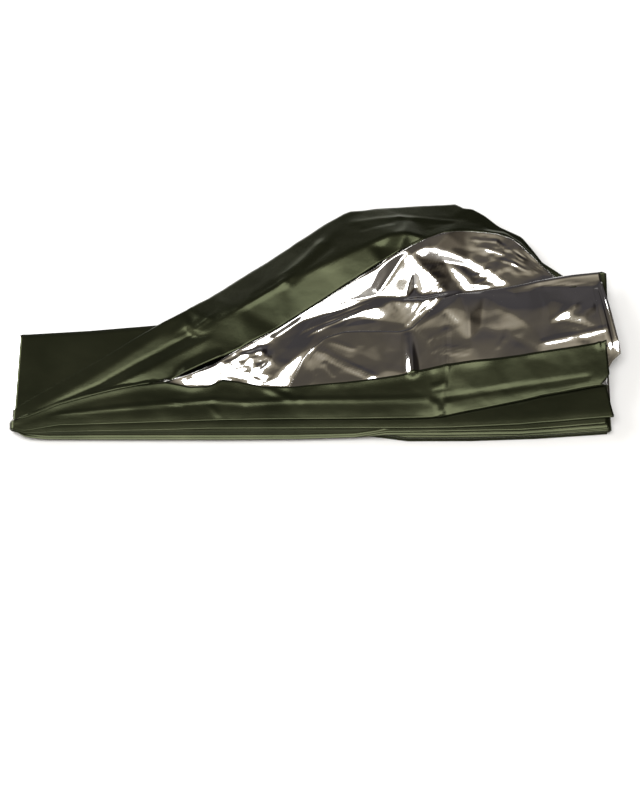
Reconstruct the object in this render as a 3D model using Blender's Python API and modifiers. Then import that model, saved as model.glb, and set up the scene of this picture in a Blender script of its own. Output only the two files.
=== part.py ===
"""An emergency foil blanket, part opened: a flat strip of folded film with its top length fanned out.

The film is one sheet, olive on one face and silver on the other.  It is folded back and forth across its
width into a strip, and the strip is folded along its length.  The solid stands for that in one body: a
flat pile of layers, the fanned top length over it, and the bend at the left end that joins the two.
Metres, +Z up, origin under the middle of the whole outline.
"""
import math

import bmesh
import bpy

MM = 0.001

# Driving dimensions, in millimetres.
LENGTH = 534.0          # along X, a quarter of the sheet's 2.13 m
MIDDLE_X = 265.6        # middle of the whole outline, from the left end
MIDDLE_Y = 121.6        # and from the foremost line
SHEET = 1.0             # one layer of this solid stands for about six of the film
PILE_PITCH = 1.5        # layer to layer in the flat pile
PILE_LAYERS = 7
FAN_GAP_LEFT = 1.8      # layer to layer in the fan, at the gathered corner
FAN_GAP_RIGHT = 3.0     # and at its open right end
FAN_CLEAR = 0.9         # between the pile's top face and the fan's lowest layer
SURFACE_CLEAR = 0.5     # under the fan's far part, where it lies behind the pile
DROP_RUN = 34.0         # length of the slope from the top of the pile down to the surface
PANEL_LIFT = 1.3        # extra layers of height that the upper panels keep behind the pile, over the flap
FOLD_STEPS = 4          # straight steps round each fold
BEND_Y = (6.0, 22.0)    # the stretch of the left end where the fan's lower layer bends round the pile
BEND_LEG = 11.0         # how far each leg of that bend reaches into the layers
BEND_LEVEL = 3          # the pile layer that it comes from, counted from 0 at the bottom

OLIVE = (0.062, 0.066, 0.030, 1.0)

# Front edge of the pile: along X, and how far it lies behind the foremost line.
FRONT_LINE = (
    # along, behind
    (0.0, 8.5),
    (13.0, 2.2),
    (60.0, 1.4),
    (142.0, 0.6),
    (340.0, 0.6),
    (475.0, 4.0),
    (534.0, 8.0),
)

# The pile, from its bottom edge to its top edge, a row for each end and fold.
# side is where it lies; y_left and y_right are Y at the two ends of a fold at the back, and for a fold at
# the front they are the distances behind the front line.
PILE_FOLDS = (
    # side, y_left, y_right, x_left, x_right
    ("back", 98.0, 100.0, 1.5, 529.0),
    ("front", 1.0, 0.4, 0.6, 530.5),
    ("back", 101.0, 102.0, 1.0, 530.0),
    ("front", 0.2, 1.6, 0.4, 528.0),
    ("back", 99.5, 104.0, 3.0, 531.5),
    ("front", 2.0, 0.2, 5.0, 530.0),
    ("back", 100.5, 108.0, 4.6, 529.0),
    ("front", 6.0, 7.0, 5.2, 530.5),
)

# The fan, a row for each section across it.  Each column is the Y of one fold or edge, top layer first:
# the front margin's loose edge and its fold, the back fold of the panel, the front fold under it, then the
# far fold of the wide layer and the loose edge of the flap that is turned over it.
FAN_SECTIONS = (
    # x, margin_edge, margin_fold, panel_fold, under_fold, far_fold, flap_edge
    (0.0, 14.0, 7.0, 13.0, 6.0, 26.0, 17.0),
    (13.0, 15.5, 5.5, 14.0, 3.5, 36.0, 19.0),
    (41.5, 25.0, 11.0, 22.0, 5.5, 54.5, 32.0),
    (77.0, 35.0, 12.0, 30.0, 6.0, 77.0, 42.0),
    (108.0, 42.5, 13.0, 37.0, 6.5, 98.0, 49.5),
    (142.0, 50.5, 14.0, 43.0, 7.0, 121.0, 57.0),
    (170.0, 48.0, 15.0, 42.0, 8.0, 141.0, 71.0),
    (185.5, 54.0, 15.5, 44.0, 8.0, 152.0, 80.0),
    (209.5, 50.0, 15.5, 43.0, 8.0, 169.0, 92.5),
    (244.0, 46.5, 16.0, 46.0, 8.0, 194.5, 114.5),
    (254.0, 47.5, 16.0, 67.0, 8.0, 202.0, 122.0),
    (264.0, 48.5, 16.0, 83.5, 8.0, 209.0, 130.0),
    (293.5, 51.0, 16.0, 101.5, 8.0, 231.5, 153.0),
    (318.0, 54.0, 16.0, 101.5, 8.0, 234.5, 171.5),
    (342.0, 57.5, 16.5, 101.5, 8.0, 237.5, 190.5),
    (354.0, 60.5, 16.5, 105.5, 8.0, 238.5, 194.5),
    (368.0, 63.0, 17.5, 120.0, 8.0, 240.0, 198.5),
    (383.0, 66.0, 19.0, 135.0, 8.5, 241.0, 202.5),
    (392.5, 67.5, 21.0, 137.0, 9.0, 242.0, 203.5),
    (408.5, 70.0, 24.5, 140.5, 9.5, 235.0, 203.0),
    (424.5, 72.0, 27.5, 144.0, 10.5, 221.5, 200.0),
    (436.0, 73.5, 30.5, 146.5, 11.0, 214.0, 197.5),
    (447.5, 75.0, 33.0, 149.0, 11.5, 206.5, 194.5),
    (467.0, 78.5, 38.0, 153.5, 13.5, 179.0, 168.5),
    (475.5, 80.0, 39.5, 155.5, 14.0, 167.5, 157.0),
    (501.5, 84.0, 43.5, 160.0, 16.5, 157.0, 147.0),
    (531.0, 89.0, 48.5, 163.0, 19.0, 149.0, 139.0),
)

# Where the fan stands up in ridges between its creases: middle, half length and half width, turn from
# +X in degrees, and height.
RIDGES = (
    # x, y, half_length, half_width, turn, height
    (337.0, 164.0, 32.0, 10.0, 59.0, 3.0),
    (380.0, 183.0, 34.0, 10.0, -10.0, 2.8),
    (369.0, 158.0, 30.0, 10.0, -54.0, 2.6),
    (266.0, 122.0, 66.0, 11.0, 24.0, 2.8),
    (352.0, 86.0, 24.0, 12.0, 88.0, 2.6),
    (446.0, 180.0, 34.0, 11.0, -35.0, 2.8),
    (432.0, 112.0, 38.0, 12.0, -35.0, 2.4),
    (498.0, 118.0, 30.0, 12.0, 40.0, 2.6),
)

# Points along each layer of the fan, from its first fold or edge to its second.
MARGIN_POINTS = 4
PANEL_POINTS = 8
WIDE_POINTS = 19
FLAP_POINTS = 5


def along(table, x, column):
    """The column's value at x, straight between the table's rows."""
    for low, high in zip(table, table[1:]):
        if x <= high[0]:
            share = max(0.0, (x - low[0]) / (high[0] - low[0]))
            return low[column] + share * (high[column] - low[column])
    return table[-1][column]


def smooth_step(t):
    """0 up to t = 0, 1 from t = 1, and a soft slope between."""
    t = min(1.0, max(0.0, t))
    return t * t * (3.0 - 2.0 * t)


def ridge_height(x, y):
    """The sum of the soft ridges at a point: each falls off as a bell along and across its line."""
    total = 0.0
    for mid_x, mid_y, half_length, half_width, turn, height in RIDGES:
        c = math.cos(math.radians(turn))
        s = math.sin(math.radians(turn))
        run = ((x - mid_x) * c + (y - mid_y) * s) / half_length
        across = (-(x - mid_x) * s + (y - mid_y) * c) / half_width
        total += height * math.exp(-run * run - across * across)
    return total


def pile_back(x):
    """Y of the pile's highest back fold at x."""
    top = PILE_FOLDS[6]
    return top[1] + (top[2] - top[1]) * x / LENGTH


def fan_gap(x):
    """Layer to layer distance in the fan, growing from the gathered corner to the open end."""
    return FAN_GAP_LEFT + (FAN_GAP_RIGHT - FAN_GAP_LEFT) * smooth_step(x / LENGTH)


def fan_level(x, y, level, lift=0.0):
    """Height of a layer of the fan: level 0 is the wide layer, 1 the one above it, and so on.

    A layer lies level on the pile, slopes down behind it and ends level again, near the surface.  lift is
    in layers, and holds the lower end of that slope up by as much.
    """
    top = PILE_LAYERS * PILE_PITCH - (PILE_PITCH - SHEET) + FAN_CLEAR + SHEET / 2
    low = SURFACE_CLEAR + SHEET / 2 + lift * fan_gap(x)
    drop = smooth_step((y - pile_back(x) - 3.0) / DROP_RUN)
    return top - (top - low) * drop + level * fan_gap(x) + ridge_height(x, y)


def panel_level(x, y, level):
    """Height of the upper panels at level 1, 2 or 3: as the fan's, and clear of the flap behind the pile."""
    return fan_level(x, y, level, PANEL_LIFT)


def half_turn(start, end, outward):
    """The points inside a fold from the end of one layer to the start of the next.

    start and end are (y, z) above one another; the fold bulges to outward, 1 for the back, -1 for the
    front, in a half circle of the gap between them.
    """
    radius = abs(end[1] - start[1]) / 2
    mid_y = (start[0] + end[0]) / 2
    mid_z = (start[1] + end[1]) / 2
    turn = 1.0 if start[1] > end[1] else -1.0
    points = []
    for step in range(1, FOLD_STEPS):
        angle = math.pi * step / FOLD_STEPS
        points.append((mid_y + outward * radius * math.sin(angle), mid_z + turn * radius * math.cos(angle)))
    return points


def layer(x, y_from, y_to, count, height, level):
    """Points (y, z) along one layer from y_from to y_to, at the height that its level has there."""
    points = []
    for i in range(count):
        y = y_from + (y_to - y_from) * i / (count - 1)
        points.append((y, height(x, y, level)))
    return points


def join_layers(layers, outwards):
    """One line through the layers, with a half turn between each and the next."""
    line = list(layers[0])
    for following, outward in zip(layers[1:], outwards):
        line += half_turn(line[-1], following[0], outward)
        line += following
    return line


def fan_section(row):
    """The fan's line at one section, from the margin's loose edge round to the flap's."""
    x, margin_edge, margin_fold, panel_fold, under_fold, far_fold, flap_edge = row
    r = fan_gap(x) / 2
    layers = (
        layer(x, margin_edge, margin_fold + r, MARGIN_POINTS, panel_level, 3),
        layer(x, margin_fold + r, panel_fold - r, PANEL_POINTS, panel_level, 2),
        layer(x, panel_fold - r, under_fold + r, PANEL_POINTS, panel_level, 1),
        layer(x, under_fold + r, far_fold - r, WIDE_POINTS, fan_level, 0),
        layer(x, far_fold - r, flap_edge, FLAP_POINTS, fan_level, 1),
    )
    line = join_layers(layers, (-1, 1, -1, 1))
    return [(x, y, z) for y, z in line]


def pile_section(share):
    """The pile's line at a share of its length, back and forth from its bottom edge to its top edge."""
    r = PILE_PITCH / 2
    line = []
    ends = []
    for side, y_left, y_right, x_left, x_right in PILE_FOLDS:
        x = x_left + (x_right - x_left) * share
        y = y_left + (y_right - y_left) * share
        if side == "front":
            y += along(FRONT_LINE, x, 1)
        ends.append((x, y, 1 if side == "back" else -1))
    for i in range(PILE_LAYERS):
        z = SHEET / 2 + i * PILE_PITCH
        first, second = ends[i], ends[i + 1]
        if i > 0:
            turn = half_turn((first[1] - first[2] * r, z - PILE_PITCH), (first[1] - first[2] * r, z), first[2])
            line += [(first[0], y, height) for y, height in turn]
        inset = 0.0 if i == 0 else r
        line.append((first[0], first[1] - first[2] * inset, z))
        inset = 0.0 if i == PILE_LAYERS - 1 else r
        line.append((second[0], second[1] - second[2] * inset, z))
    return line


def bend_section(y):
    """The bend at the left end, from inside the pile round to the fan's wide layer."""
    low = SHEET / 2 + BEND_LEVEL * PILE_PITCH + 0.15
    high = fan_level(0.0, y, 0) + 0.12
    r = (high - low) / 2
    centre_x = r + SHEET / 2 + 0.1
    line = [(centre_x + BEND_LEG, y, low), (centre_x, y, low)]
    for step in range(1, 2 * FOLD_STEPS):
        angle = math.pi * step / (2 * FOLD_STEPS)
        line.append((centre_x - r * math.sin(angle), y, (low + high) / 2 - r * math.cos(angle)))
    line += [(centre_x, y, high), (centre_x + BEND_LEG, y, high)]
    return line


def sheet_object(name, sections, collection):
    """An open surface through the sections, made a sheet of its thickness by Solidify."""
    mesh = bpy.data.meshes.new(name)
    build = bmesh.new()
    rows = []
    for section in sections:
        row = []
        for x, y, z in section:
            row.append(build.verts.new(((x - MIDDLE_X) * MM, (y - MIDDLE_Y) * MM, z * MM)))
        rows.append(row)
    for left, right in zip(rows, rows[1:]):
        for i in range(len(left) - 1):
            build.faces.new((left[i], left[i + 1], right[i + 1], right[i]))
    build.to_mesh(mesh)
    build.free()
    obj = bpy.data.objects.new(name, mesh)
    collection.objects.link(obj)
    thicken = obj.modifiers.new("thickness", "SOLIDIFY")
    thicken.thickness = SHEET * MM
    thicken.offset = 0.0
    return obj


def film_material():
    """The olive face of the film, a smooth glossy plastic."""
    material = bpy.data.materials.new("olive_film")
    material.use_nodes = True
    shader = material.node_tree.nodes["Principled BSDF"]
    shader.inputs["Base Color"].default_value = OLIVE
    shader.inputs["Roughness"].default_value = 0.35
    shader.inputs["Metallic"].default_value = 0.0
    return material


def new_collection(name):
    """A collection linked to the scene."""
    collection = bpy.data.collections.new(name)
    bpy.context.scene.collection.children.link(collection)
    return collection


def main():
    for obj in list(bpy.data.objects):
        bpy.data.objects.remove(obj, do_unlink=True)
    parts = new_collection("emergency_foil_blanket")
    forms = new_collection("joined_forms")

    pile_shares = [row[0] / LENGTH for row in FRONT_LINE]
    blanket = sheet_object("foil_blanket", [pile_section(share) for share in pile_shares], parts)
    fan = sheet_object("fan_form", [fan_section(row) for row in FAN_SECTIONS], forms)
    bend_rows = (BEND_Y[0], (BEND_Y[0] + BEND_Y[1]) / 2, BEND_Y[1])
    bend = sheet_object("bend_form", [bend_section(y) for y in bend_rows], forms)

    for form in (bend, fan):
        form.hide_render = True
        form.display_type = "WIRE"
        union = blanket.modifiers.new("join " + form.name, "BOOLEAN")
        union.operation = "UNION"
        union.solver = "EXACT"
        union.object = form
    blanket.data.materials.append(film_material())


main()
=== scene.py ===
"""An emergency foil blanket, part opened, on a pale table: olive film on one face and silver on the other.

The film is one sheet, 1.32 m across and 2.13 m long.  It is folded back and forth across its width into
thirteen panels, and along its length into four.  Three lengths lie packed in a flat pile.  The fourth, on
top, is gathered at the near left corner and fans out to the right, so that its silver inside shows.

Shape tables are in millimetres, along from the left end and back from the foremost line.
"""
import math

import bpy
import numpy as np
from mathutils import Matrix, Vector
from mathutils.geometry import delaunay_2d_cdt


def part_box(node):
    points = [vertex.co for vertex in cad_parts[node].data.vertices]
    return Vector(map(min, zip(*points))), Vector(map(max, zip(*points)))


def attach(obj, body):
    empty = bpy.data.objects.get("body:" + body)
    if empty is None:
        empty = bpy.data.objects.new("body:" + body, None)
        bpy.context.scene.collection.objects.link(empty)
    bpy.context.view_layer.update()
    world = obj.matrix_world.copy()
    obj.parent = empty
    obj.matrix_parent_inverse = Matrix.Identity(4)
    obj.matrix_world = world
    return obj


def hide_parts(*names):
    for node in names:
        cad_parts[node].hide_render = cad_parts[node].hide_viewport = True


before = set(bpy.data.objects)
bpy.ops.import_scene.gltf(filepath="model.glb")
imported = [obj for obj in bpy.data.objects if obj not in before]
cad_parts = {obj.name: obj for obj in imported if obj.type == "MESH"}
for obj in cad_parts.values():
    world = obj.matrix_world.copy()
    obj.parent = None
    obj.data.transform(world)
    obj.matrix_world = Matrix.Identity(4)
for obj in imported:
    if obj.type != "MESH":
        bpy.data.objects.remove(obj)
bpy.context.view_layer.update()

MM = 0.001
NODE = "foil_blanket"
LEFT, FRONT = (float(v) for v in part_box(NODE)[0][:2])

# How the sheet is folded, and how thick the film is.
PANELS = 13
FILM = 0.09             # thickness of the modelled film

# Heights, in millimetres.
LENGTH_PILE = 3.42      # thickness of one packed length, thirteen layers
PILE_TOP = 3 * LENGTH_PILE
SURFACE = 0.9           # the fan's far part, over the surface behind the pile
DROP_RUN = 34.0         # the slope from the top of the pile down to the surface
PANEL_SAG = 3.5         # how far the upper layers sag behind the pile


def entry(table, name):
    """The rest of the table's row that starts with name."""
    return next(row[1:] for row in table[1:] if row[0] == name)


def chain(name, *corners):
    """Rows for the corners, called name_1, name_2 and so on."""
    return [(f"{name}_{count}", *corner) for count, corner in enumerate(corners, 1)]


def smooth(t):
    """0 up to t = 0, 1 from t = 1, and a soft slope 3t^2 - 2t^3 between."""
    t = np.clip(t, 0.0, 1.0)
    return t * t * (3.0 - 2.0 * t)


def column(table, x, name):
    """The table's column called name at each x, straight between its rows.  Row 0 holds the names."""
    names = table[0]
    rows = np.array(table[1:], float)
    return np.interp(x, rows[:, 0], rows[:, names.index(name)])


# ---- Camera, lights and table ----

CAMERA_ELEVATION = 65.0
CAMERA_DISTANCE = 1.62
CAMERA_AIM = (271.4, 41.8, 0.0)     # the middle of the picture
CAMERA_LENS = 81.9


def add_object(name, data):
    """A new object in the scene."""
    made = bpy.data.objects.new(name, data)
    bpy.context.scene.collection.objects.link(made)
    return made


def add_material(name):
    """A new material, its node tree and its shader."""
    material = bpy.data.materials.new(name)
    material.use_nodes = True
    return material, material.node_tree, material.node_tree.nodes["Principled BSDF"]


def add_camera():
    """A long lens, level with the strip's long side and 65 degrees above it."""
    tilt = math.radians(CAMERA_ELEVATION)
    aim = (LEFT + CAMERA_AIM[0] * MM, FRONT + CAMERA_AIM[1] * MM, 0.0)
    data = bpy.data.cameras.new("camera")
    data.lens = CAMERA_LENS
    data.sensor_width = 36.0
    camera = add_object("camera", data)
    camera.location = (aim[0], aim[1] - CAMERA_DISTANCE * math.cos(tilt), CAMERA_DISTANCE * math.sin(tilt))
    camera.rotation_euler = (math.radians(90.0) - tilt, 0.0, 0.0)
    bpy.context.scene.camera = camera


def add_softbox(name, place, aim, size, watts):
    """A rectangular softbox at place, turned to face aim."""
    data = bpy.data.lights.new(name, "AREA")
    data.shape = "RECTANGLE"
    data.size, data.size_y = size
    data.energy = watts
    light = add_object(name, data)
    light.location = place
    away = np.array(place, float) - np.array(aim, float)
    yaw = math.atan2(away[0], -away[1])
    pitch = math.acos(away[2] / np.linalg.norm(away))
    light.rotation_euler = (pitch, 0.0, yaw)


SOFTBOXES = (
    ("overhead", (0.0, -0.33, 1.95), (0.0, -0.2, 0.0), (2.0, 1.06), 38.0),
    ("left", (-1.65, 0.8, 0.95), (0.0, 0.0, 0.0), (1.4, 1.0), 35.0),
)

# Colour of the room by the direction's part along +Y, from the front to the back, and by its part along +X.
ROOM_BACKWARD = (
    (-0.60, (0.50, 0.48, 0.44)),
    (0.10, (0.42, 0.38, 0.30)),
    (0.28, (0.24, 0.21, 0.155)),
    (0.38, (0.092, 0.080, 0.062)),
    (0.52, (0.074, 0.065, 0.056)),
    (0.62, (0.050, 0.046, 0.048)),
    (0.90, (0.060, 0.055, 0.055)),
    (1.00, (0.35, 0.34, 0.33)),
)
ROOM_RIGHTWARD = (
    (-1.00, (1.6, 1.6, 1.6)),
    (-0.10, (1.0, 1.0, 1.0)),
    (0.06, (1.0, 1.0, 1.0)),
    (0.16, (1.15, 1.15, 1.18)),
    (0.32, (1.15, 1.15, 1.15)),
    (0.46, (0.45, 0.43, 0.43)),
    (0.58, (0.22, 0.21, 0.21)),
    (0.80, (0.20, 0.19, 0.19)),
    (1.00, (0.6, 0.6, 0.6)),
)


def colour_scale(tree, part, stops):
    """Nodes that turn a direction's part, from -1 to 1, into a colour, straight between the stops."""
    spread = tree.nodes.new("ShaderNodeMapRange")
    spread.inputs["From Min"].default_value = -1.0
    ramp = tree.nodes.new("ShaderNodeValToRGB")
    elements = ramp.color_ramp.elements
    while len(elements) < len(stops):
        elements.new(0.5)
    for element, (place, colour) in zip(elements, stops):
        element.position = (place + 1.0) / 2.0
        element.color = (*colour, 1.0)
    tree.links.new(part, spread.inputs["Value"])
    tree.links.new(spread.outputs[0], ramp.inputs[0])
    return ramp.outputs[0]


def add_room():
    """A warm grey room, dim at the back and to the right, and paler overhead and in front."""
    world = bpy.data.worlds.new("room")
    world.use_nodes = True
    tree = world.node_tree
    links = tree.links
    tree.nodes.clear()
    where = tree.nodes.new("ShaderNodeTexCoord")
    split = tree.nodes.new("ShaderNodeSeparateXYZ")
    product = tree.nodes.new("ShaderNodeMix")
    product.data_type = "RGBA"
    product.blend_type = "MULTIPLY"
    product.inputs["Factor"].default_value = 1.0
    sky = tree.nodes.new("ShaderNodeBackground")
    out = tree.nodes.new("ShaderNodeOutputWorld")
    links.new(where.outputs["Generated"], split.inputs[0])
    links.new(colour_scale(tree, split.outputs["Y"], ROOM_BACKWARD), product.inputs["A"])
    links.new(colour_scale(tree, split.outputs["X"], ROOM_RIGHTWARD), product.inputs["B"])
    links.new(product.outputs["Result"], sky.inputs[0])
    links.new(sky.outputs[0], out.inputs[0])
    bpy.context.scene.world = world


def add_table():
    """A plain pale table top, far wider than the blanket."""
    reach = 4.0
    mesh = bpy.data.meshes.new("table_top")
    corners = [(-reach, -reach, 0), (reach, -reach, 0), (reach, reach, 0), (-reach, reach, 0)]
    mesh.from_pydata(corners, [], [(0, 1, 2, 3)])
    table = add_object("table_top", mesh)
    material, _, shader = add_material("table_paint")
    shader.inputs["Base Color"].default_value = (0.86, 0.86, 0.86, 1.0)
    shader.inputs["Roughness"].default_value = 0.9
    shader.inputs["Specular IOR Level"].default_value = 0.2
    mesh.materials.append(material)


add_camera()
add_room()
add_table()
for softbox in SOFTBOXES:
    add_softbox(*softbox)
bpy.context.scene.view_settings.view_transform = "Standard"


# ---- The fan: fold lines ----

# How far back each fold or edge of the opened length lies, top layer first: the front margin's loose edge
# and its fold, the back fold of the panel, the front fold under it, the far fold of the wide silver layer,
# and the loose edge of the olive flap that is turned over it.
FAN = (
    ("x", "margin_edge", "margin_fold", "panel_fold", "under_fold", "far_fold", "flap_edge"),
    (0, 14, 9, 13, 8.5, 26, 16),
    (13, 20, 5.5, 14, 3.6, 36, 18),
    (41.5, 32, 11, 22, 5.2, 54.5, 30),
    (77, 42.5, 12, 31, 5.8, 77, 40.5),
    (108, 49.5, 13, 38, 6.3, 98, 48),
    (134, 52.5, 13.8, 42, 6.8, 114.5, 53.5),
    (142, 51, 14, 43, 7, 119.5, 57),
    (156, 47.5, 14.5, 42, 7.5, 129, 63.5),
    (173, 48, 15, 42, 8, 141.5, 72),
    (185.5, 54.5, 15.3, 44, 8.1, 151, 77.5),
    (198, 52.5, 15.5, 43.5, 8.2, 160, 83.5),
    (222, 47, 15.8, 42, 8.2, 177, 97.5),
    (243, 46.8, 16, 45, 8.2, 193, 111.5),
    (249, 47, 16, 58, 8.2, 198, 116),
    (256, 47.8, 16, 74, 8.2, 202.5, 121),
    (263.5, 48.5, 16, 84, 8.2, 208, 126),
    (276, 49.5, 16, 95.5, 8.2, 217.5, 134.5),
    (293.5, 51, 16.1, 101.5, 8.2, 229.5, 147),
    (300, 51.8, 16.2, 101.8, 8.2, 232.5, 151),
    (318, 54, 16.2, 101.8, 8.2, 234, 163.5),
    (342, 57.5, 16.5, 101.8, 8.2, 236, 179),
    (354, 60.5, 16.5, 105.5, 8.2, 237, 186),
    (368, 63, 17, 120, 8.3, 238, 193.5),
    (383, 66, 19, 135, 8.5, 239, 201),
    (398, 68.5, 22.5, 138, 9.2, 240, 204),
    (405, 69.5, 24, 139.5, 9.5, 233.5, 205),
    (413, 70.5, 25.5, 141.5, 9.8, 233, 205.3),
    (424.5, 72, 28, 144, 10.4, 225.5, 205),
    (436, 73.5, 30.5, 146.5, 11, 214.5, 204),
    (447.5, 75, 33, 149, 11.6, 208, 201),
    (458, 77, 35.5, 151, 12.6, 202.5, 192),
    (467, 78.5, 38, 153.5, 13.5, 190.5, 183),
    (475.5, 80, 39.5, 155.5, 14, 177.5, 174),
    (501.5, 84, 43.5, 160, 16.5, 158, 150),
    (531, 89, 48.5, 163.5, 19, 152, 143),
)

# The two lowest front folds.  At the left they drop down a step in front of the pile, whose foot is at
# "step", and then slope on to their fold; at the right they lie level and show one behind the other.
HANGING = (
    ("x", "outer_fold", "outer_drop", "inner_fold", "inner_drop", "step", "step_drop"),
    (0, 8.8, 0.3, 9.6, 0.3, 11, 0),
    (13, 2.4, 0.5, 4, 0.5, 6.6, 4),
    (30, 1.4, 0.5, 3, 0.5, 6.4, 6.8),
    (80, 1.2, 0.5, 2.8, 0.5, 6.8, 6.8),
    (190, 1, 0.5, 2.6, 0.5, 6.8, 6.8),
    (250, 1.4, 0.5, 2.8, 0.5, 6.8, 6.6),
    (302, 2.6, 0.5, 3, 0.5, 7.4, 5.4),
    (330, 5, 0.3, 3.2, 0.25, 8.6, 0),
    (378, 5.6, 0.3, 2.8, 0.25, 9.2, 0),
    (447, 7, 0.3, 3.8, 0.25, 10.6, 0),
    (531, 13.4, 0.3, 10, 0.25, 17, 0),
)

# How far the far fold stands off the slope behind the pile or the surface.
FAR_LIFT = (
    ("x", "lift"),
    (0, 0), (395, 0), (403, 1.5), (410, 4.2), (450, 4.6), (470, 3), (531, 1),
)

# Where each layer of the fan ends at the right: at its front, in its middle and at its back.
ENDS = (
    ("layer", "y_front", "x_front", "y_middle", "x_middle", "y_back", "x_back"),
    ("margin", 42, 514, 57, 527.5, 89, 526),
    ("panel", 68, 527, 79, 539.4, 165, 525.5),
    ("under", 20, 529.5, 50, 523, 150, 532.5),
    ("pleat_1", 20, 528.5, 50, 524, 150, 529),
    ("pleat_2", 14, 523, 50, 526, 150, 531),
    ("pleat_3", 14, 522, 50, 524, 150, 528),
    ("pleat_4", 10, 525, 50, 522, 150, 527),
    ("wide", 10, 524, 50, 526, 150, 533),
    ("flap", 100, 529, 140, 529, 150, 529),
)

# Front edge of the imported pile, behind the foremost line, and the back edge of its top layer.
PILE_EDGES = (
    ("x", "front", "back"),
    (0, 10.5, 101.6), (13, 9.6, 102.3), (80, 9.4, 106.8), (132, 9.4, 112.2), (190, 9.4, 116),
    (260, 9.4, 118), (310, 9.8, 118.4), (332, 2, 118.5), (378, 1.2, 118.5), (440, 2.6, 118.5),
    (475, 4.2, 118.5), (531, 8.2, 118.5),
)

# Height of each layer of the fan over its lowest one, at the gathered corner and at the open end.
LEVELS = (
    ("layer", "left", "right"),
    ("margin", 2.9, 8.6),
    ("panel", 2.5, 6.8),
    ("under", 2.1, 4.6),
    ("pleat_1", 1.6, 3.2),
    ("pleat_2", 1.2, 2.4),
    ("pleat_3", 0.8, 1.6),
    ("pleat_4", 0.4, 0.8),
    ("wide", 0, 0),
    ("flap", 0.7, 1.3),
)

# Corners of the wide silver layer's facets, with their height over the table.
SILVER_POINTS = (
    ("name", "x", "y", "z"),
    ("peak", 351.5, 180.5, 24),
    ("left_foot", 323, 140, 11.6),
    ("right_foot", 386, 144, 12),
    ("dent", 357, 163, 18.2),
    ("leaf_left", 350, 138, 12.8),
    ("leaf_right", 366, 139.5, 11),
    ("leaf_middle", 358.5, 154.5, 9),
    *chain("valley", (347, 178, 21), (329.5, 151, 15.2), (338.5, 164.5, 18.2)),
    *chain("ridge", (335.5, 174, 23.6), (324.5, 163.5, 22), (317.5, 149.5, 17.6)),
    *chain("edge", (294, 147, 17.4), (265, 127.5, 14.6), (253.5, 120, 14), (236.5, 107, 14.6),
        (219.5, 96, 16), (200, 84.5, 16.2), (192, 79.5, 15.6)),
    *chain("line", (265, 125.5, 13.4), (294, 132.5, 12.9)),
    *chain("foot", (313, 133.5, 11.4), (289.5, 125.5, 11), (253.5, 114.5, 11.6), (236.5, 101, 12.2),
        (219.5, 88.5, 14.2), (200, 80.5, 15)),
    *chain("rim", (292, 108, 13.6), (270, 105.5, 14.2), (250, 96.5, 13)),
    *chain("step", (365, 185.2, 23.1), (376, 185.2, 21.2), (386, 183.2, 18.8), (408.5, 176.5, 13.4),
        (426.5, 165, 11.4), (442.5, 153, 9.4)),
    *chain("base", (363.4, 178.2, 21.1), (375, 178.8, 19.2), (386.5, 178, 16.8), (404.5, 171.5, 11.2),
        (419, 163, 9.2), (433.5, 152.5, 7.8)),
    *chain("drop", (364, 176.8, 20.2), (376, 176.6, 17), (388, 175.6, 13.6)),
    *chain("back", (369, 195.5, 22.6), (394, 205, 19.2), (406.5, 207, 17), (423, 206.5, 14.8),
        (442.5, 205, 12.4), (455.5, 195, 11.2), (474, 177, 7.6), (482, 166, 6.4)),
    *chain("dark", (390, 168.5, 12.4), (387, 151, 11.6), (399.5, 148.5, 9)),
    *chain("blob", (397, 167.5, 13.2), (404.5, 160.5, 12), (410.5, 151.5, 10.4), (402.5, 148, 8.2),
        (394, 159, 10.4)),
    *chain("patch", (313, 128, 12.9), (326.5, 128, 12.9), (324.5, 115.5, 10.7), (311, 117, 10.7),
        (305, 124, 11.8), (332.5, 122, 11.6)),
    *chain("fan", (336.5, 136, 12.8), (349.5, 134, 15), (366.5, 135, 14.8), (381, 139, 15)),
    ("fan_foot", 350, 111.5, 10.7),
    *chain("mound", (188, 72, 15.2), (209, 80.5, 16.4), (219.5, 83, 16), (229.5, 74, 13)),
    *chain("spur", (240.5, 69, 14.8), (256, 81, 15)),
    *chain("lobe", (158, 62, 13.6), (175, 66.5, 14.6)),
    *chain("wedge", (156, 65.5, 12), (173, 74, 11.8), (185.5, 79.5, 13)),
    *chain("seam", (183.5, 59, 11.6), (185, 73.5, 14.4)),
    *chain("gap", (140, 55.5, 11), (156, 52, 11), (173, 51.5, 10.9), (197.5, 52.5, 11), (223.5, 50.5, 11),
        (241.5, 50.5, 10.9)),
    ("notch", 249, 65, 12.2),
)
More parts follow.
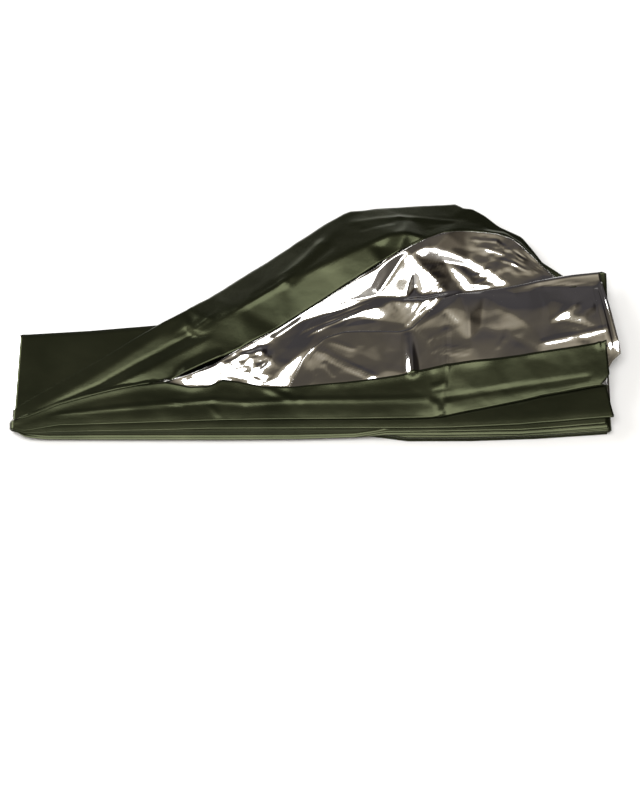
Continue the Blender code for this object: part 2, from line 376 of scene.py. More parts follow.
SILVER_CREASES = (
    "ridge_1 ridge_2 ridge_3 left_foot",
    "peak valley_1 valley_3 valley_2 left_foot",
    "peak dent leaf_left",
    "dent leaf_right",
    "peak right_foot",
    "left_foot leaf_left leaf_right right_foot",
    "edge_7 edge_6 edge_5 edge_4 edge_3 edge_2 edge_1 ridge_2",
    "edge_2 line_1 line_2 left_foot",
    "left_foot foot_1 foot_2 foot_3 foot_4 foot_5 foot_6",
    "rim_1 rim_2 rim_3 spur_2",
    "peak step_1 step_2 step_3 step_4 step_5 step_6",
    "peak base_1 base_2 base_3 base_4 base_5 base_6",
    "ridge_1 back_1 back_2 back_3 back_4 back_5 back_6 back_7 back_8",
    "peak drop_1 drop_2 drop_3",
    "base_3 drop_3 dark_1 blob_5 blob_4 dark_3 dark_2 right_foot",
    "dark_1 blob_1 blob_2 blob_3 blob_4",
    "patch_1 patch_2 patch_3 patch_4 patch_1",
    "patch_5 patch_1",
    "patch_6 patch_2",
    "fan_1 fan_2 fan_3 fan_4",
    "fan_1 fan_foot fan_2",
    "fan_3 fan_foot fan_4",
    "mound_1 mound_2 mound_3 mound_4 spur_1 spur_2",
    "lobe_1 lobe_2 edge_7",
    "wedge_1 wedge_2 wedge_3",
    "seam_1 seam_2",
    "gap_1 gap_2 gap_3 gap_4 gap_5 gap_6 notch spur_2",
)

# Small creases in the wide silver layer: ridges, or troughs where the height is below 0.
SILVER_LINES = (
    ("x0", "y0", "x1", "y1", "start", "end", "width"),
    (318, 136, 262, 113, 0.3, 0.45, 2.2), (316, 134, 260, 109.5, 0.35, 0.5, 2),
    (318, 132, 256, 104.5, 0.4, 0.5, 2), (312, 126, 262, 101, 0.45, 0.55, 2.4),
    (322, 127.5, 290, 116, 0.45, 0.4, 2.2), (292, 133.5, 322, 141, -0.5, -0.5, 1.6),
    (265, 126.5, 292, 133.5, -0.3, -0.5, 1.6), (348, 178, 327, 146, -0.6, -0.8, 2.2),
    (350, 112, 333, 134, 0.14, 0.49, 2.4), (350, 112, 343, 136, 0.14, 0.49, 2.2),
    (350, 112, 350, 135, 0.14, 0.56, 2.4), (350, 112, 359, 137, 0.14, 0.49, 2.2),
    (350, 112, 368, 136, 0.14, 0.49, 2.4), (350, 112, 378, 138, 0.14, 0.42, 2.2),
    (356, 172, 374, 151, 0.42, 0.21, 2.6), (361, 167, 381, 148, 0.35, 0.21, 2.4),
    (413.5, 162, 426.5, 169, 0.42, 0.28, 2.2), (426.5, 169, 437, 157, 0.28, 0.35, 2.2),
    (415.5, 154.5, 426.5, 161, 0.42, 0.35, 2.2), (426.5, 161, 432, 155, 0.35, 0.35, 2.2),
    (413, 197.5, 432.5, 197, 0.3, 0.4, 2.6), (432.5, 197, 445.5, 188.5, 0.4, 0.4, 2.6),
    (445.5, 188.5, 457, 180, 0.4, 0.32, 2.6), (438, 178, 450, 174, 0.36, 0.4, 2.4),
    (450, 174, 458, 169.5, 0.4, 0.32, 2.4), (443, 190.5, 457.5, 181.5, -0.3, -0.36, 2.4),
    (420, 190, 440, 184, 0.28, 0.28, 2.6), (202, 75.5, 202.2, 75.5, -1.2, -1.2, 6),
    (209, 76, 216, 66, 0.56, 0.42, 3), (216, 66, 222, 72, 0.42, 0.56, 3),
    (206, 62, 215, 55, 0.49, 0.35, 3), (181, 60, 183.5, 74, 0.63, 0.63, 2.6),
)

# Corners of the upper panel's facets, with their height over its plain level.
PANEL_POINTS = (
    ("name", "x", "y", "z"),
    ("corner", 263.5, 86.5, 1.6),
    ("diagonal", 320, 56.5, 1.2),
    ("foot", 252, 62, 0),
    *chain("edge", (285, 99, 1.8), (325, 100, 1.6)),
    ("notch", 349.5, 101, 0.4),
    ("dark_fan", 329, 63, 1.6),
    ("glint", 352, 60, 1),
    *chain("arc", (369, 94, 0.6), (373.5, 67.5, 0.8)),
    ("tan_top", 397, 137, 6.4),
    ("tan_right", 404.5, 111, 4.8),
    ("tan_front", 392.5, 105, 2.2),
    ("tan_left", 379, 105, 1),
    ("tan_side", 379.5, 120, 2.6),
    ("fold_top", 420.5, 137.5, 2.6),
    ("fold_left", 416, 105, 1),
    ("fold_front", 438, 101, -0.4),
    ("fold_right", 458.5, 108, 1.2),
    ("grey_top", 461.5, 143, -0.6),
    ("grey_right", 471.5, 113, 0.8),
    *chain("crease", (447.5, 140, 0.4), (470.5, 147.5, 0), (523, 148, 0)),
    *chain("rim", (481, 155.5, 1.1), (522, 162, 1.4)),
    ("valley", 480, 113, 0.4),
    ("tick", 492.5, 120, 2.6),
    *chain("line", (470.5, 89.5, 1.3), (520.5, 102.5, 1.3)),
    ("tan_base", 404, 92, 1.8),
    *chain("band", (468, 79, 0.2), (521, 89, 0.2)),
    *chain("mid", (431, 86, 0.6), (505, 131, 2.2), (520, 118, 0.8)),
)
PANEL_CREASES = (
    "corner diagonal",
    "corner edge_1 edge_2 notch",
    "corner foot",
    "notch dark_fan",
    "notch glint",
    "notch arc_1 arc_2",
    "notch tan_side tan_top tan_right tan_front tan_left",
    "tan_top fold_top fold_right fold_front fold_left tan_right",
    "tan_right tan_base",
    "fold_top crease_1 crease_2 crease_3",
    "grey_top grey_right fold_right",
    "crease_2 valley tick mid_2",
    "line_1 line_2",
    "band_1 band_2",
    "rim_1 rim_2",
)

# Small creases in the upper panel.
PANEL_LINES = (
    ("x0", "y0", "x1", "y1", "start", "end", "width"),
    (350.5, 97, 353.5, 58, 0.8, 4.4, 6.5), (263.5, 87, 320, 57, 0.54, 0.54, 2.8),
    (268, 80.5, 314, 56, 0.42, 0.42, 2.6), (357.5, 103, 369, 94, 0.24, 0.36, 2.6),
    (369, 94, 373, 82, 0.36, 0.42, 2.8), (373, 82, 373.5, 66, 0.42, 0.3, 2.8),
    (424, 140, 447.5, 141, -0.36, -0.48, 3), (447.5, 141, 470.5, 148, -0.48, -0.48, 3),
    (470.5, 148, 523, 148.5, -0.48, -0.36, 3), (470.5, 90, 522.5, 103.5, 0.75, 0.75, 3),
    (377.5, 85, 404, 83.5, 0.36, 0.36, 2.2), (378, 80.5, 403, 79.5, 0.3, 0.3, 2.2),
    (431, 86.5, 436, 93, 0.36, 0.42, 2.6), (436, 93, 438.5, 102, 0.42, 0.24, 2.6),
    (384.5, 103, 383, 61.5, 0.7, 0.9, 4.2), (384, 120, 394, 108, -0.54, -0.42, 3.4),
    (483, 134, 500, 127, 0.45, 0.45, 5), (480.8, 113, 493, 122, 0.8, 0.6, 3.6),
    (505, 116, 517, 128, 0.5, 0.5, 5), (490, 118, 502, 131, 0.5, 0.5, 5),
    (486, 109, 506, 104, 0.36, 0.48, 3), (500, 98, 505, 92, -0.54, -0.54, 4),
    (523.5, 64, 524.5, 145, 1.8, 1.6, 3.2), (531, 64, 531, 150, 2.6, 2, 4.2),
    (281, 92, 300, 84, 0.24, 0.36, 3), (276, 70, 284, 58, 0.42, 0.3, 3),
    (264, 74, 268, 60, 0.36, 0.36, 3),
)

# Corners of the olive flap's facets, with their height over the table.
FLAP_POINTS = (
    ("name", "x", "y", "z"),
    *chain("ridge", (158, 102.5, 15.4), (177, 113.5, 18.2), (197, 124, 21.2), (237, 150, 23),
        (273, 166, 24.6), (313, 185.5, 26.4), (337, 197, 27)),
    *chain("streak", (272, 191, 15.8), (297, 224, 8.4)),
    *chain("fin", (342, 180.5, 24.4), (348.5, 198, 28), (355, 188, 22.4), (367, 195, 23.4),
        (328, 184.5, 23.6)),
    *chain("top", (356, 222, 13.5), (395, 224, 12)),
    *chain("valley", (16, 20.5, 11.6), (42, 34, 12), (76.5, 50.5, 12.2), (115.5, 75.5, 12),
        (156.5, 99, 12.4)),
    *chain("lower", (42, 29.5, 13), (77, 44, 14.2), (111, 61.5, 14.8), (146, 82, 15.2), (177, 99, 16.4)),
    *chain("upper", (25, 31, 12.3), (59, 51, 13.3), (93, 74, 13.9), (127, 99, 14.2)),
    *chain("curl", (147, 69, 13.6), (165, 79.5, 14.2), (182, 85.5, 15.4)),
    *chain("tip", (147, 59.5, 15.8), (165, 68, 17), (182, 76.5, 16.8)),
)
FLAP_CREASES = (
    "valley_1 valley_2 valley_3 valley_4 valley_5 ridge_1",
    "ridge_1 ridge_2 ridge_3 ridge_4 ridge_5 ridge_6 ridge_7 fin_2",
    "lower_1 lower_2 lower_3 lower_4 lower_5",
    "upper_1 upper_2 upper_3 upper_4",
    "ridge_4 streak_1 streak_2",
    "fin_5 fin_1 fin_2 fin_3 fin_4",
    "fin_2 top_1 top_2",
    "curl_1 curl_2 curl_3",
    "tip_1 tip_2 tip_3",
)

# Small creases in the flap.
FLAP_LINES = (
    ("x0", "y0", "x1", "y1", "start", "end", "width"),
    (42, 34, 76.5, 50.5, -0.3, -0.4, 4), (76.5, 50.5, 115.5, 75.5, -0.4, -0.5, 4),
    (115.5, 75.5, 156.5, 100, -0.5, -0.6, 4), (156.5, 100, 183, 117.5, -0.4, -0.3, 4),
    (183, 117.5, 198, 126, -0.3, -0.2, 4), (153, 108.5, 163.5, 117, 0.4, 0.5, 4),
    (163, 108, 172, 116, 0.3, 0.5, 3.6), (171, 115, 180, 123, 0.3, 0.4, 3.6),
    (144, 104, 152, 113, 0.5, 0.5, 3.6), (237, 151.5, 272.5, 192.5, 0.8, 1, 8),
    (272.5, 192.5, 290, 217, 1, 0, 8), (246, 152, 281, 187, -0.9, -0.9, 7),
    (212, 136, 250, 163, -0.6, -0.9, 4), (198, 122, 240, 148, 0.5, 0.9, 4),
    (300, 217, 345, 222, 0.6, 0.8, 4), (345, 222, 400, 216, 0.8, 0.6, 4),
    (372, 208, 412, 213, 0.5, 0.7, 4), (310, 207, 338, 214, -0.5, -0.6, 4),
)

# Small creases in the olive margin.
MARGIN_LINES = (
    ("x0", "y0", "x1", "y1", "start", "end", "width"),
    (42, 21.5, 95.5, 27.5, 0.3, 0.48, 3), (95.5, 27.5, 144.5, 32, 0.48, 0.54, 3),
    (144.5, 32, 176.5, 34.5, 0.54, 0.54, 3), (176.5, 34.5, 205.5, 32, 0.54, 0.48, 3.2),
    (205.5, 32, 254, 34, 0.48, 0.48, 4), (254, 34, 372, 34, 0.48, 0.36, 4),
    (384, 64, 380.5, 48, 0.9, 1, 3.4), (380.5, 48, 378.5, 34, 1, 0.8, 3.4),
    (372, 58, 370.5, 35, -0.9, -0.9, 3.2), (373, 31, 377.5, 20, 0.9, 0.9, 3),
    (383.5, 31, 377.5, 20, 0.9, 0.9, 3), (371.5, 33.5, 434.5, 43.5, -0.7, -0.5, 3.4),
    (434.5, 43.5, 512, 55, -0.5, -0.5, 4), (372, 45, 378, 47, 0.8, 0.8, 3),
    (176.5, 27, 182, 20, 0.7, 0.5, 3), (225, 44, 243, 36, 0.6, 0.6, 5),
)


OUTSIDE = -99.0         # height given outside the facets, under everything
SLACK = 1e-6            # so that points on an edge count as inside


class Facets:
    """A sheet of flat facets: heights given at named points, joined by triangles that keep the creases."""

    def __init__(self, points, creases, border):
        names = [row[0] for row in points[1:]]
        corners = [tuple(row[1:]) for row in points[1:]] + list(border)
        edges = []
        for crease in creases:
            chain = [names.index(name) for name in crease.split()]
            edges += list(zip(chain[:-1], chain[1:]))
        flat = [Vector(corner[:2]) for corner in corners]
        found, _, triangles, sources, _, _ = delaunay_2d_cdt(flat, edges, [], 0, 0.01)
        place = np.array([tuple(v) for v in found])
        height = np.array([corners[source[0]][2] if source else np.nan for source in sources])
        self.triangles = [(place[list(t)], height[list(t)]) for t in triangles]

    def __call__(self, x, y):
        """Height at each x, y: straight between the three corners of the facet there."""
        x, y = np.broadcast_arrays(x, y)
        z = np.full(x.shape, OUTSIDE)
        for (a, b, c), (za, zb, zc) in self.triangles:
            area = (b[0] - a[0]) * (c[1] - a[1]) - (c[0] - a[0]) * (b[1] - a[1])
            u = ((x - a[0]) * (c[1] - a[1]) - (c[0] - a[0]) * (y - a[1])) / area
            v = ((b[0] - a[0]) * (y - a[1]) - (x - a[0]) * (b[1] - a[1])) / area
            inside = (u >= -SLACK) & (v >= -SLACK) & (u + v <= 1 + SLACK)
            z = np.where(inside, za + (zb - za) * u + (zc - za) * v, z)
        return z

    def soft(self, x, y, radius):
        """The same, its creases rounded off: the mean of six heights on a ring and twice the middle one."""
        turns = np.arange(6) * math.pi / 3
        ring = [self(x + radius * math.cos(t), y + radius * math.sin(t)) for t in turns]
        return (self(x, y) * 2 + sum(ring)) / 8


def creases(table, x, y):
    """Ridges and troughs along straight lines, added up.

    Each is its height, straight from its start to its end, times smooth(1 - distance / width), where the
    distance is from the point to the line.
    """
    total = np.zeros(np.broadcast(x, y).shape)
    for x0, y0, x1, y1, start, end, width in table[1:]:
        run = np.array((x1 - x0, y1 - y0))
        share = np.clip(((x - x0) * run[0] + (y - y0) * run[1]) / (run @ run), 0.0, 1.0)
        away = np.hypot(x - x0 - share * run[0], y - y0 - share * run[1])
        total = total + (start + (end - start) * share) * smooth(1.0 - away / width)
    return total


AREA = (560.0, 270.0)   # what a crumple covers, along X and Y


def crumple(x, y, seed, spacing, slope):
    """A faceted, crumpled surface: the upper envelope of low pyramids at scattered points, mean about 0.

    Each pyramid is its height less slope times |a| + |b|, where a and b are the distances from its middle
    along two turned and stretched axes.
    """
    draw = np.random.default_rng(seed)
    across, back = (int(span / spacing) for span in AREA)
    gx, gy = np.meshgrid(np.arange(across) * spacing, np.arange(back) * spacing, indexing="ij")
    gx = (gx + draw.uniform(-0.5, 0.5, gx.shape) * spacing).ravel()
    gy = (gy + draw.uniform(-0.5, 0.5, gy.shape) * spacing).ravel()
    turn = draw.uniform(0.0, math.pi, gx.size)
    stretch = draw.uniform(0.45, 1.0, gx.size)
    peak = draw.uniform(-0.45, 0.45, gx.size) * slope * spacing
    height = np.full(np.broadcast(x, y).shape, -slope * spacing)
    for px, py, a, k, h in zip(gx, gy, turn, stretch, peak):
        dx, dy = x - px, y - py
        one = np.abs(dx * math.cos(a) + dy * math.sin(a))
        two = np.abs(-dx * math.sin(a) + dy * math.cos(a)) * k
        height = np.maximum(height, h - slope * (one + two))
    mean = -0.35 * slope * spacing
    return height - mean


# ---- The fan: section by section ----

BED = 0.35              # the fan's lowest layer over the top of the pile
SLOPE_START = 3.0       # behind the back edge of the pile
ROUND_SILVER = 1.4      # how far the creases between facets are rounded off
ROUND_FLAP = 2.0
MARGIN_TILT = (0.02, 0.10)      # slope of the margin, up to its loose edge, at the left and at the right
UNDER_CLEAR = 0.9       # how far the under layer's creases stay below the panel's
PLEAT_CLEAR = 0.3       # the under layer over the pleat below it
WIDE_CLEAR = 0.2        # the wide layer under the lowest pleat
FLAP_CLEAR = 0.5        # the flap over what it lies on, at the gathered corner
FLAP_ON_MARGIN = (1.5, 140.0)   # the flap clears the margin so far behind its edge, and up to this X

FOLD_RADIUS = 0.45      # of the margin's and the panel's folds
PLEAT_RADIUS = 0.3
FOLD_STEPS = 3
PLEAT_BACKS = {"back_1": 0.86, "back_2": 0.78}      # the pleats' back folds, as shares of the panel's depth
BEND_START = 2.95       # along X: where the left end bends down over the end of the pile
BEND_RADIUS = 0.8

# How far each upper front fold comes down, and over what distance behind it.
UPPER_HANG = {
    "margin": ("margin_fold", 0.3, 6), "panel": ("margin_fold", 0.3, 6),
    "under": ("under_fold", 0.35, 5), "pleat_1": ("under_fold", 0.35, 5),
}

# How far in front of the lowest layer each hanging layer goes down the step, so that they nest.
STEP_NEST = {"pleat_2": 1.2, "pleat_3": 0.8, "pleat_4": 0.4, "wide": 0.0}
STEP_RUN = 2.2          # from the foot of the step to its top
LOWER_HANG_RUN = 5.0    # behind a hanging fold, the distance over which it slopes on

# Fine crumpling of the film: the seed of its scatter, its spacing and its slope.
CRUMPLES = {
    "silver": (7, 22, 0.03), "silver_left": (9, 9, 0.10),
    "silver_right": (15, 10, 0.07), "silver_facet": (17, 6, 0.18),
    "flap": (11, 34, 0.018), "margin": (13, 36, 0.02),
    "panel": (5, 24, 0.02), "panel_broad": (3, 50, 0.02),
}

# Where a shape sets in or ends: its start, and the run over which it does.  Along X, or Y where named so.
FADES = {
    "silver": (130, 30), "silver_left_end": (215, 25),
    "silver_right": (400, 25), "silver_right_y": (158, 12),
    "silver_facet": (362, 5), "silver_facet_end": (381, 5), "silver_facet_end_y": (168, 6),
    "flap": (60, 80), "margin": (60, 60), "margin_tilt": (330, 60), "under": (260, 60),
    "levels": (0, 500), "hang": (0, 30), "right_end": (470, 61),
}

# Where the fan's points lie along X: close together at its ends and where it is most creased.
STRETCHES = ((-0.5, 4.3, 6), (4.3, 12.0, 2), (12.0, 150.0, 26), (150.0, 480.0, 140), (480.0, 516.0, 11))
STATIONS = np.concatenate([np.linspace(*stretch, endpoint=False) for stretch in STRETCHES]
                          + [np.linspace(516.0, 531.0, 9)])

# How many steps each stretch has across, and the places of the first ones behind a fold or a step's foot.
STEPS = {
    "margin": 14, "panel_front": 5, "panel": 34, "under": 5, "pleat": 1,
    "wide_hidden": 3, "wide_shown": 62, "wide_under_flap": 8, "flap": 29,
}
FOLD_PLACES = np.array((0.0, 0.5, 2.4, 5.2, 9.0))
STEP_PLACES = np.array((-0.3, 0.4, 1.1, 1.8, 2.5))
FULL_DEPTH = 24.0       # a layer less deep than this has those places drawn together

ALONG = np.arange(-20.0, 561.0, 10.0)   # corners of the facets' outer borders, along X


def fade(name, v):
    """0 up to the named start and 1 from the end of its run, by smooth."""
    start, run = FADES[name]
    return smooth((v - start) / run)


def drop_behind(x, y):
    """0 on the pile and 1 on the surface behind it, with a soft slope between."""
    return smooth((y - column(PILE_EDGES, x, "back") - SLOPE_START) / DROP_RUN)


def plain_height(x, y):
    """Height of the fan's lowest layer without creases: level on the pile, then a soft slope down behind."""
    return PILE_TOP + BED + (SURFACE - PILE_TOP - BED) * drop_behind(x, y)


def border(x, y, z):
    """Points along a line, as corners for the facets' outer edge."""
    return list(zip(*(np.asarray(v, float).tolist() for v in (x, y, z))))


def far_border(extra):
    """Corners just past the far fold, extra millimetres over the height at which the silver lies there."""
    past_fold = 3.0
    far = column(FAN, ALONG, "far_fold") + past_fold
    return border(ALONG, far, plain_height(ALONG, far) + column(FAR_LIFT, ALONG, "lift") + extra)


def silver_facets():
    """The wide silver layer, from well under the panel to past the far fold."""
    under_panel = 8.0
    near = np.minimum(column(FAN, ALONG, "panel_fold"), column(FAN, ALONG, "margin_edge")) - under_panel
    return Facets(SILVER_POINTS, SILVER_CREASES,
                  border(ALONG, near, plain_height(ALONG, near)) + far_border(0.0))


def flap_facets(silver):
    """The olive flap, from in front of its loose edge, where it lies on the silver, to past the far fold."""
    overlap, clear = 6.0, 0.3
    edge = column(FAN, ALONG, "flap_edge")
    near_z = np.maximum(silver(ALONG, edge), plain_height(ALONG, edge)) + clear
    return Facets(FLAP_POINTS, FLAP_CREASES,
                  border(ALONG, edge - overlap, near_z) + far_border(1.0 + 3.0 * smooth(ALONG / 180.0)))


def panel_facets():
    """The upper panel over its plain level, from in front of its front fold to behind its back fold."""
    behind, in_front = 6.0, 10.0
    rim = column(FAN, ALONG, "panel_fold") + behind
    rim_z = np.interp(ALONG, (400.0, 480.0), (0.4, 1.6))
    front = column(FAN, ALONG, "margin_fold") - in_front
    return Facets(PANEL_POINTS, PANEL_CREASES, border(ALONG, rim, rim_z) + border(ALONG, front, 0.0 * ALONG))


class Fan:
    """The opened length as a line of points at each station, built from its margin's edge to its flap's."""

    def __init__(self, stations):
        self.s = stations[:, None]
        self.x = np.maximum(self.s, 0.0)
        self.line = {name: column(FAN, self.x, name) for name in FAN[0][1:]}
        self.line.update({name: column(HANGING, self.x, name) for name in HANGING[0][1:]})
        depth = self.line["panel_fold"] - self.line["under_fold"]
        for name, share in PLEAT_BACKS.items():
            self.line[name] = self.line["under_fold"] + share * depth
        self.silver = silver_facets()
        self.flap = flap_facets(self.silver)
        self.panel = panel_facets()
        self.ys, self.zs, self.shifts = [], [], []

    def level(self, layer):
        """Height of a layer over the lowest one, growing towards the open end."""
        left, right = entry(LEVELS, layer)
        return left + (right - left) * fade("levels", self.x)

    def plain(self, layer, y):
        """Height of an upper layer at y without creases: its level, less the sag behind the pile."""
        return PILE_TOP + BED - PANEL_SAG * drop_behind(self.x, y) + self.level(layer)

    def wide_height(self, y):
        """Height of the wide silver layer at y: facets, crumples where it shows, and small creases.

        In front of the pleats' back folds it stays under the lowest pleat.
        """
        x, line = self.x, self.line
        shown = smooth((y - np.maximum(line["panel_fold"], line["margin_edge"]) + 1.0) / 8.0)
        shown = shown * fade("silver", x)
        facet = fade("silver_facet", x) * (1.0 - fade("silver_facet_end", x))
        z = np.maximum(self.silver.soft(x, y, ROUND_SILVER), plain_height(x, y))
        for name, part in (
            ("silver", 1.0),
            ("silver_left", 1.0 - fade("silver_left_end", x)),
            ("silver_right", fade("silver_right", x) * fade("silver_right_y", y)),
            ("silver_facet", facet * (1.0 - fade("silver_facet_end_y", y))),
        ):
            z = z + crumple(x, y, *CRUMPLES[name]) * shown * part
        z = z + creases(SILVER_LINES, x, y) * shown
        let_go, run = 15.0, 8.0
        limit = self.plain("pleat_4", y) - WIDE_CLEAR + let_go * smooth((y - line["back_1"]) / run)
        return np.minimum(z, limit)

    def flap_height(self, y):
        """Height of the olive flap at y: facets, crumples and small creases, clear of what it lies on."""
        x = self.x
        z = self.flap.soft(x, y, ROUND_FLAP) + crumple(x, y, *CRUMPLES["flap"]) * fade("flap", x)
        z = z + creases(FLAP_LINES, x, y)
        z = np.maximum(z, self.wide_height(y) + FLAP_CLEAR + 0.2 * smooth(x / 100.0))
        past_edge, last_x = FLAP_ON_MARGIN
        on_margin = (y < self.line["margin_edge"] + past_edge) & (x < last_x)
        over_margin = self.height("margin", y) + FLAP_CLEAR + 0.3 * smooth(x / 60.0)
        return np.where(on_margin, np.maximum(z, over_margin), z)

    def panel_relief(self, y):
        """What the upper panel's facets, small creases, crumples and rolled back fold add to its height."""
        x = self.x
        fine = crumple(x, y, *CRUMPLES["panel"]) + crumple(x, y, *CRUMPLES["panel_broad"])
        roll, run = 0.35, 3.0
        back = roll * smooth((y - self.line["panel_fold"] + run) / run)
        return self.panel.soft(x, y, ROUND_SILVER) + creases(PANEL_LINES, x, y) + fine + back

    def height(self, layer, y):
        """Height of a layer at y with its creases and hang.  The under layer stays over the first pleat."""
        x, line = self.x, self.line
        if layer == "flap":
            return self.flap_height(y)
        if layer == "wide":
            return self.wide_height(y) - self.hang(layer, y)
        z = self.plain(layer, y)
        if layer in ("under", "panel", "margin"):
            inside = smooth((y - line["margin_edge"] + 8.0) / 10.0)
            z = z + self.panel_relief(y) * inside
        if layer == "under":
            middle = smooth((line["panel_fold"] - 3.0 - y) / 5.0) * fade("under", x)
            z = np.maximum(z - UNDER_CLEAR * inside * middle, self.plain("pleat_1", y) + PLEAT_CLEAR)
        if layer == "margin":
            left, right = MARGIN_TILT
            tilt = left + (right - left) * fade("margin_tilt", x)
            z = z + tilt * np.maximum(y - line["margin_fold"], 0.0) + creases(MARGIN_LINES, x, y)
            z = z + crumple(x, y, *CRUMPLES["margin"]) * fade("margin", x)
        return z - self.hang(layer, y)

    def hang(self, layer, y):
        """How far a layer comes down at its front fold: over the last few millimetres, and down the step."""
        line = self.line
        if layer in UPPER_HANG:
            fold, drop, run = UPPER_HANG[layer]
            return drop * fade("hang", self.x) * (1.0 - smooth((y - line[fold]) / run))
        name = "outer" if layer in ("pleat_2", "pleat_3") else "inner"
        down = line["step_drop"] * (1.0 - smooth((y - line["step"] + STEP_NEST[layer]) / STEP_RUN))
        near = np.clip(1.0 - (y - line[name + "_fold"]) / LOWER_HANG_RUN, 0.0, 1.0)
        return down + line[name + "_drop"] * near

    def end_shift(self, layer, y):
        """How far along each point moves so that the layer stops at its own right end."""
        row = entry(ENDS, layer)
        return (np.interp(y, row[0::2], row[1::2]) - STATIONS[-1]) * fade("right_end", self.x)

    def lay(self, layer, y):
        """Adds one layer's points at the places y, an array of a row for each station."""
        self.ys.append(y)
        self.zs.append(self.height(layer, y))
        self.shifts.append(self.end_shift(layer, y))

    def turn(self, outward, layer, y):
        """Adds the half turn from the last point to the start of the next layer at y, bulging outward."""
        top, end = self.zs[-1][:, -1:], self.height(layer, y)
        radius = (top - end) / 2.0
        share = np.arange(1, FOLD_STEPS) / FOLD_STEPS
        self.ys.append(y + outward * np.abs(radius) * np.sin(math.pi * share))
        self.zs.append((top + end) / 2.0 + radius * np.cos(math.pi * share))
        first, last = self.shifts[-1][:, -1:], self.end_shift(layer, y)
        self.shifts.append(first + (last - first) * share)

    def points(self):
        """All the points, with the left end bent down on a quarter circle over the end of the pile."""
        y = np.concatenate(self.ys, axis=1)
        z = np.concatenate(self.zs, axis=1)
        turned = np.clip((BEND_START - self.s) / BEND_RADIUS, 0.0, math.pi / 2)
        past = np.maximum(0.0, BEND_START - self.s - BEND_RADIUS * math.pi / 2)
        radius = BEND_RADIUS + z - PILE_TOP
        ahead = self.s + np.concatenate(self.shifts, axis=1)
        x = np.where(self.s < BEND_START, BEND_START - radius * np.sin(turned), ahead)
        z = np.where(self.s < BEND_START, PILE_TOP - BEND_RADIUS + radius * np.cos(turned) - past, z)
        return np.stack((x, y, z), axis=-1)


def even(steps):
    """Even shares of a stretch, from the first step to 1."""
    return np.linspace(0.0, 1.0, steps + 1)[1:]


def between(start, end, shares):
    """Points from start to end at the given shares, a row for each station."""
    return start + (end - start) * np.asarray(shares)[None, :]


def from_front(fold, back, radius, steps):
    """Places close together behind a front fold, a radius from it, and then even steps to the back."""
    near = fold + radius + FOLD_PLACES[None, :] * np.minimum(1.0, (back - fold) / FULL_DEPTH)
    return np.concatenate((near, between(near[:, -1:], back, even(steps))), axis=1)


def from_step(fold, step, back, steps):
    """Places from a fold to its layer's back: few up to the step, close together there, and then even."""
    near = np.concatenate((fold + PLEAT_RADIUS, (fold + step) / 2.0, step + STEP_PLACES), axis=1)
    near = fold + (near - fold) * np.minimum(1.0, (back - fold) / (near[:, -1:] - fold + 1.0))
    return np.concatenate((near, between(near[:, -1:], back, even(steps))), axis=1)


def fan_points():
    """The opened length: margin, panel, under layer, four hidden pleats, wide silver layer and flap."""
    fan = Fan(STATIONS)
    line = fan.line
    panel_front = line["margin_fold"] + FOLD_RADIUS
    panel_back = line["panel_fold"] - FOLD_RADIUS

    margin = from_front(line["margin_fold"], line["margin_edge"], FOLD_RADIUS, STEPS["margin"])
    fan.lay("margin", margin[:, ::-1])

    # The panel has few points where the margin hides it, up to a seam just in front of the margin's edge.
    share_hidden = 0.4
    seam = line["margin_fold"] + share_hidden * (line["panel_fold"] - line["margin_fold"])
    seam = np.minimum(line["margin_edge"] - 2.0, seam)
    hidden = between(panel_front, seam, even(STEPS["panel_front"]))
    shown = between(seam, panel_back, even(STEPS["panel"]))
    fan.turn(-1, "panel", panel_front)
    fan.lay("panel", np.concatenate((panel_front, hidden, shown), axis=1))

    under = from_front(line["under_fold"], panel_back, FOLD_RADIUS, STEPS["under"])[:, ::-1]
    fan.turn(1, "under", under[:, :1])
    fan.lay("under", under)

    for layer, fold, back, outward in (
        ("pleat_1", "under_fold", "back_1", -1),
        ("pleat_2", "outer_fold", "back_1", 1),
        ("pleat_3", "outer_fold", "back_2", -1),
        ("pleat_4", "inner_fold", "back_2", 1),
    ):
        end = line[back] - PLEAT_RADIUS
        if fold == "under_fold":
            pleat = from_front(line[fold], end, PLEAT_RADIUS, STEPS["pleat"])
        else:
            pleat = from_step(line[fold], line["step"] - STEP_NEST[layer], end, STEPS["pleat"])
        if outward > 0:
            pleat = pleat[:, ::-1]
        fan.turn(outward, layer, pleat[:, :1])
        fan.lay(layer, pleat)

    # The wide layer has most of its points from just under the panel to just under the flap.
    under_panel, in_front, under_flap = 3.0, 5.0, 3.0
    first = np.maximum(line["margin_edge"], line["panel_fold"]) - under_panel
    first = np.minimum(first, line["flap_edge"] - in_front)
    last = line["flap_edge"] + under_flap
    far = line["far_fold"] - FOLD_RADIUS
    wide = np.concatenate((
        from_step(line["inner_fold"], line["step"], first, STEPS["wide_hidden"]),
        between(first, last, even(STEPS["wide_shown"])),
        between(last, far, even(STEPS["wide_under_flap"])),
    ), axis=1)
    fan.turn(-1, "wide", wide[:, :1])
    fan.lay("wide", wide)

    flap = np.concatenate((far, between(far, line["flap_edge"], even(STEPS["flap"]))), axis=1)
    fan.turn(1, "flap", far)
    fan.lay("flap", flap)
    return fan.points()


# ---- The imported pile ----

PILE_LEFT = 2.2
PILE_RIGHT = 524.5
PILE_STATIONS = 14      # along each length
PILE_TURN = 6           # round each end
PILE_BACK = 101.0       # back edge of the layers under the top one, about
PILE_SWAY = 0.5         # how far each fold wanders along the pile
PILE_SHARES = (0.0, 0.04, 0.3, 0.7, 0.96, 1.0)


